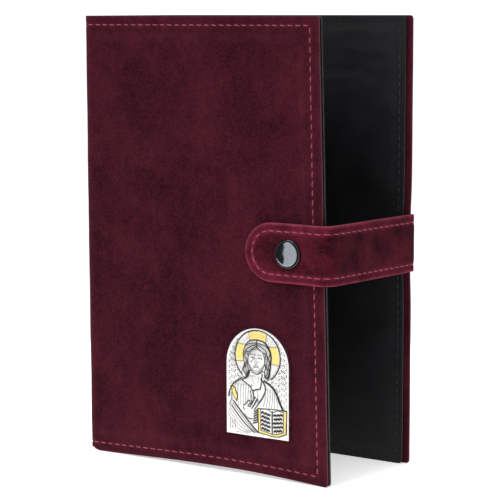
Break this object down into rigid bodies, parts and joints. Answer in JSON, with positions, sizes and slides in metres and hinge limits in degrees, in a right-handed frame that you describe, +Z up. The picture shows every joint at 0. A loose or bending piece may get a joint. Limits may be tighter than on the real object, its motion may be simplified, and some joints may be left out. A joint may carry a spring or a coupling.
{
  "type": "prayer book cover",
  "caption": "Slip-on suede cover for a prayer book: stiffened covers folding on a spine, lined pockets, a strap that snaps on the front and an arched relief plaque.",
  "frame": {"origin": "middle of the bounding box in X and Y, on the surface that the cover stands on", "axes": "+X from the spine to the free edges, -Y out of the front cover, +Z up"},
  "size_m": [0.142, 0.0636, 0.2],
  "materials": {
    "burgundy_suede": "suede nap, matt, mottled where it has been brushed",
    "strap_backing": "suede split, matt",
    "fibre_board": "pressed fibre board, raw",
    "black_lining": "smooth coated lining, low sheen",
    "black_pocket": "smooth coated sheet, low sheen",
    "stitching_thread": "twisted polyester thread",
    "snap_metal": "antique plated",
    "spring_steel": "spring wire",
    "snap_cap_enamel": "glossy gunmetal enamel",
    "adhesive": "double-sided tape",
    "plaque_core": "thin fibre core",
    "plaque_silver": "stamped silver foil, gilded in places"
  },
  "bodies": {
    "front_cover": {"front_suede": "burgundy_suede", "front_board": "fibre_board", "front_lining": "black_lining", "front_pocket": "black_pocket", "front_stitching": "stitching_thread", "snap_stud": "snap_metal", "snap_stud_rivet": "snap_metal", "plaque_adhesive": "adhesive", "plaque_core": "plaque_core", "plaque_foil": "plaque_silver"},
    "spine": {"spine_suede": "burgundy_suede", "spine_board": "fibre_board", "spine_lining": "black_lining", "spine_stitching": "stitching_thread"},
    "back_cover": {"back_suede": "burgundy_suede", "back_board": "fibre_board", "back_lining": "black_lining", "back_pocket": "black_pocket", "back_stitching": "stitching_thread", "strap_anchor": "burgundy_suede", "strap_anchor_backing": "strap_backing", "strap_anchor_stitching": "stitching_thread"},
    "strap": {"strap_bridge": "burgundy_suede", "strap_bridge_backing": "strap_backing", "strap_bridge_stitching": "stitching_thread"},
    "strap_tip": {"strap_tip": "burgundy_suede", "strap_tip_backing": "strap_backing", "strap_tip_stitching": "stitching_thread", "snap_cap": "snap_cap_enamel", "snap_socket": "snap_metal", "snap_spring": "spring_steel"}
  },
  "joints": [
    {"name": "back_fold", "type": "hinge", "parent": "back_cover", "child": "spine", "pos_m": [-0.05823, 0.02812, 0], "axis": [0, 0, -1], "range_deg": [0, 78]},
    {"name": "front_fold", "type": "hinge", "parent": "spine", "child": "front_cover", "pos_m": [-0.06966, -0.02567, 0], "axis": [0, 0, -1], "range_deg": [-17, 102]},
    {"name": "strap_root_bend", "type": "hinge", "parent": "back_cover", "child": "strap", "pos_m": [0.07001, 0.03047, 0.1], "axis": [0, 0, 1], "range_deg": [0, 150]},
    {"name": "strap_tip_bend", "type": "hinge", "parent": "strap", "child": "strap_tip", "pos_m": [0.05759, -0.02882, 0.1], "axis": [0, 0, 1], "range_deg": [0, 120]}
  ]
}
